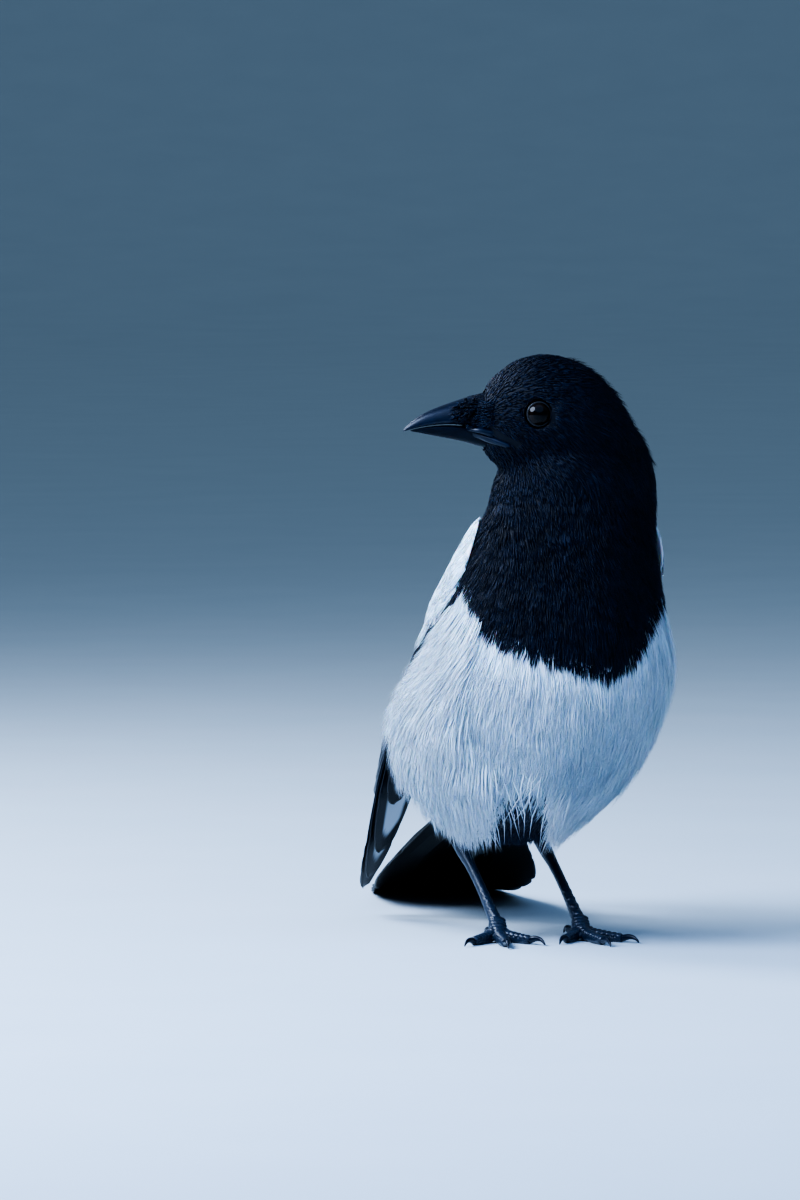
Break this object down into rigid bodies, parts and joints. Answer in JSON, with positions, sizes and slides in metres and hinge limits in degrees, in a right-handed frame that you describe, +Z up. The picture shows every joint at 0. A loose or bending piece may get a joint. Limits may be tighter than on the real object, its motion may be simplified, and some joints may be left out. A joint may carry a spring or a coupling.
{
  "type": "eurasian magpie",
  "caption": "Life-size standing black-and-white magpie with turned head, folded wings, long graduated tail resting on the floor, gripping feet and a stout hooked bill.",
  "frame": {"origin": "the floor point under the middle of the bird's bounding box", "axes": "+Z up, +Y from the breast to the tail's tip, +X to the bird's left"},
  "size_m": [0.1022, 0.3546, 0.2125],
  "materials": {
    "black_plumage": "short glossy black body feathers with a faint blue sheen",
    "white_plumage": "soft loose white body feathers",
    "flight_feather": "smooth black vanes with a blue and teal gloss",
    "tail_feather": "smooth black vanes with a green gloss",
    "horn": "polished black horn",
    "leg_scale": "black scaly skin",
    "eye": "wet dark brown eye"
  },
  "bodies": {
    "root": {"head": "black_plumage", "bill_upper": "horn", "bill_lower": "horn", "neck": "black_plumage", "breast": "black_plumage", "back": "black_plumage", "belly": "white_plumage", "tail": "tail_feather", "eye_left": "eye", "eye_right": "eye", "scapulars_left": "white_plumage", "scapulars_right": "white_plumage", "wing_left": "flight_feather", "wing_right": "flight_feather", "thigh_left": "black_plumage", "thigh_right": "black_plumage", "tarsus_left": "leg_scale", "tarsus_right": "leg_scale", "foot_left": "leg_scale", "foot_right": "leg_scale", "claw_inner_left": "horn", "claw_middle_left": "horn", "claw_outer_left": "horn", "claw_hind_left": "horn", "claw_inner_right": "horn", "claw_middle_right": "horn", "claw_outer_right": "horn", "claw_hind_right": "horn"}
  },
  "joints": []
}
